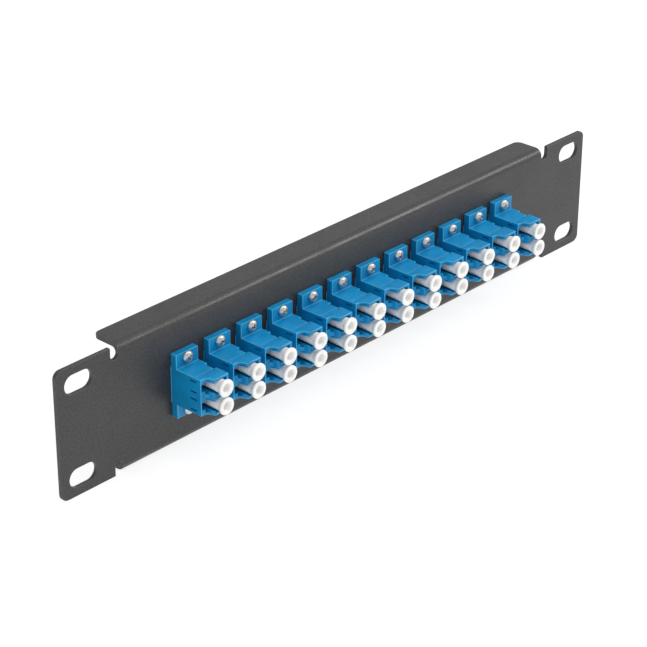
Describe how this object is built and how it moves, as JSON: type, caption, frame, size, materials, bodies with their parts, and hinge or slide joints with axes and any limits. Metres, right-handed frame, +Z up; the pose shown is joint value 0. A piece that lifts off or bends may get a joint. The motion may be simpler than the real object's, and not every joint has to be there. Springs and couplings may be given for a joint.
{
  "type": "fibre patch panel",
  "caption": "Folded black steel rack panel, one unit high for a ten inch rack, with a row of blue duplex LC fibre couplers and white dust caps.",
  "frame": {"origin": "middle of the four rack slots, on the rear face of the ears, where the panel lies against the rack rails", "axes": "+X along the panel, to the right as seen from the front; +Y to the rear, into the rack; +Z up"},
  "size_m": [0.254, 0.0313, 0.044],
  "materials": {
    "black_steel": "black fine-textured powder coat on folded steel sheet",
    "blue_plastic": "moulded blue thermoplastic with a fine satin skin",
    "white_plastic": "milky white soft polyethylene",
    "zirconia": "polished white zirconia ceramic",
    "nickel_steel": "bright nickel-plated steel"
  },
  "bodies": {
    "patch_panel": {"panel": "black_steel", "coupler_01_front_shell": "blue_plastic", "coupler_01_rear_shell": "blue_plastic", "coupler_02_front_shell": "blue_plastic", "coupler_02_rear_shell": "blue_plastic", "coupler_03_front_shell": "blue_plastic", "coupler_03_rear_shell": "blue_plastic", "coupler_04_front_shell": "blue_plastic", "coupler_04_rear_shell": "blue_plastic", "coupler_05_front_shell": "blue_plastic", "coupler_05_rear_shell": "blue_plastic", "coupler_06_front_shell": "blue_plastic", "coupler_06_rear_shell": "blue_plastic", "coupler_07_front_shell": "blue_plastic", "coupler_07_rear_shell": "blue_plastic", "coupler_08_front_shell": "blue_plastic", "coupler_08_rear_shell": "blue_plastic", "coupler_09_front_shell": "blue_plastic", "coupler_09_rear_shell": "blue_plastic", "coupler_10_front_shell": "blue_plastic", "coupler_10_rear_shell": "blue_plastic", "coupler_11_front_shell": "blue_plastic", "coupler_11_rear_shell": "blue_plastic", "coupler_12_front_shell": "blue_plastic", "coupler_12_rear_shell": "blue_plastic", "split_sleeves": "zirconia", "flange_screws": "nickel_steel", "flange_nuts": "nickel_steel"},
    "dust_cap_01_upper": {"dust_cap_01_upper": "white_plastic"},
    "dust_cap_01_lower": {"dust_cap_01_lower": "white_plastic"},
    "dust_cap_02_upper": {"dust_cap_02_upper": "white_plastic"},
    "dust_cap_02_lower": {"dust_cap_02_lower": "white_plastic"},
    "dust_cap_03_upper": {"dust_cap_03_upper": "white_plastic"},
    "dust_cap_03_lower": {"dust_cap_03_lower": "white_plastic"},
    "dust_cap_04_upper": {"dust_cap_04_upper": "white_plastic"},
    "dust_cap_04_lower": {"dust_cap_04_lower": "white_plastic"},
    "dust_cap_05_upper": {"dust_cap_05_upper": "white_plastic"},
    "dust_cap_05_lower": {"dust_cap_05_lower": "white_plastic"},
    "dust_cap_06_upper": {"dust_cap_06_upper": "white_plastic"},
    "dust_cap_06_lower": {"dust_cap_06_lower": "white_plastic"},
    "dust_cap_07_upper": {"dust_cap_07_upper": "white_plastic"},
    "dust_cap_07_lower": {"dust_cap_07_lower": "white_plastic"},
    "dust_cap_08_upper": {"dust_cap_08_upper": "white_plastic"},
    "dust_cap_08_lower": {"dust_cap_08_lower": "white_plastic"},
    "dust_cap_09_upper": {"dust_cap_09_upper": "white_plastic"},
    "dust_cap_09_lower": {"dust_cap_09_lower": "white_plastic"},
    "dust_cap_10_upper": {"dust_cap_10_upper": "white_plastic"},
    "dust_cap_10_lower": {"dust_cap_10_lower": "white_plastic"},
    "dust_cap_11_upper": {"dust_cap_11_upper": "white_plastic"},
    "dust_cap_11_lower": {"dust_cap_11_lower": "white_plastic"},
    "dust_cap_12_upper": {"dust_cap_12_upper": "white_plastic"},
    "dust_cap_12_lower": {"dust_cap_12_lower": "white_plastic"}
  },
  "joints": [
    {"name": "dust_cap_01_upper_pull", "type": "slide", "parent": "patch_panel", "child": "dust_cap_01_upper", "axis": [0, -1, 0], "range_m": [0, 0.01]},
    {"name": "dust_cap_01_lower_pull", "type": "slide", "parent": "patch_panel", "child": "dust_cap_01_lower", "axis": [0, -1, 0], "range_m": [0, 0.01]},
    {"name": "dust_cap_02_upper_pull", "type": "slide", "parent": "patch_panel", "child": "dust_cap_02_upper", "axis": [0, -1, 0], "range_m": [0, 0.01]},
    {"name": "dust_cap_02_lower_pull", "type": "slide", "parent": "patch_panel", "child": "dust_cap_02_lower", "axis": [0, -1, 0], "range_m": [0, 0.01]},
    {"name": "dust_cap_03_upper_pull", "type": "slide", "parent": "patch_panel", "child": "dust_cap_03_upper", "axis": [0, -1, 0], "range_m": [0, 0.01]},
    {"name": "dust_cap_03_lower_pull", "type": "slide", "parent": "patch_panel", "child": "dust_cap_03_lower", "axis": [0, -1, 0], "range_m": [0, 0.01]},
    {"name": "dust_cap_04_upper_pull", "type": "slide", "parent": "patch_panel", "child": "dust_cap_04_upper", "axis": [0, -1, 0], "range_m": [0, 0.01]},
    {"name": "dust_cap_04_lower_pull", "type": "slide", "parent": "patch_panel", "child": "dust_cap_04_lower", "axis": [0, -1, 0], "range_m": [0, 0.01]},
    {"name": "dust_cap_05_upper_pull", "type": "slide", "parent": "patch_panel", "child": "dust_cap_05_upper", "axis": [0, -1, 0], "range_m": [0, 0.01]},
    {"name": "dust_cap_05_lower_pull", "type": "slide", "parent": "patch_panel", "child": "dust_cap_05_lower", "axis": [0, -1, 0], "range_m": [0, 0.01]},
    {"name": "dust_cap_06_upper_pull", "type": "slide", "parent": "patch_panel", "child": "dust_cap_06_upper", "axis": [0, -1, 0], "range_m": [0, 0.01]},
    {"name": "dust_cap_06_lower_pull", "type": "slide", "parent": "patch_panel", "child": "dust_cap_06_lower", "axis": [0, -1, 0], "range_m": [0, 0.01]},
    {"name": "dust_cap_07_upper_pull", "type": "slide", "parent": "patch_panel", "child": "dust_cap_07_upper", "axis": [0, -1, 0], "range_m": [0, 0.01]},
    {"name": "dust_cap_07_lower_pull", "type": "slide", "parent": "patch_panel", "child": "dust_cap_07_lower", "axis": [0, -1, 0], "range_m": [0, 0.01]},
    {"name": "dust_cap_08_upper_pull", "type": "slide", "parent": "patch_panel", "child": "dust_cap_08_upper", "axis": [0, -1, 0], "range_m": [0, 0.01]},
    {"name": "dust_cap_08_lower_pull", "type": "slide", "parent": "patch_panel", "child": "dust_cap_08_lower", "axis": [0, -1, 0], "range_m": [0, 0.01]},
    {"name": "dust_cap_09_upper_pull", "type": "slide", "parent": "patch_panel", "child": "dust_cap_09_upper", "axis": [0, -1, 0], "range_m": [0, 0.01]},
    {"name": "dust_cap_09_lower_pull", "type": "slide", "parent": "patch_panel", "child": "dust_cap_09_lower", "axis": [0, -1, 0], "range_m": [0, 0.01]},
    {"name": "dust_cap_10_upper_pull", "type": "slide", "parent": "patch_panel", "child": "dust_cap_10_upper", "axis": [0, -1, 0], "range_m": [0, 0.01]},
    {"name": "dust_cap_10_lower_pull", "type": "slide", "parent": "patch_panel", "child": "dust_cap_10_lower", "axis": [0, -1, 0], "range_m": [0, 0.01]},
    {"name": "dust_cap_11_upper_pull", "type": "slide", "parent": "patch_panel", "child": "dust_cap_11_upper", "axis": [0, -1, 0], "range_m": [0, 0.01]},
    {"name": "dust_cap_11_lower_pull", "type": "slide", "parent": "patch_panel", "child": "dust_cap_11_lower", "axis": [0, -1, 0], "range_m": [0, 0.01]},
    {"name": "dust_cap_12_upper_pull", "type": "slide", "parent": "patch_panel", "child": "dust_cap_12_upper", "axis": [0, -1, 0], "range_m": [0, 0.01]},
    {"name": "dust_cap_12_lower_pull", "type": "slide", "parent": "patch_panel", "child": "dust_cap_12_lower", "axis": [0, -1, 0], "range_m": [0, 0.01]}
  ]
}
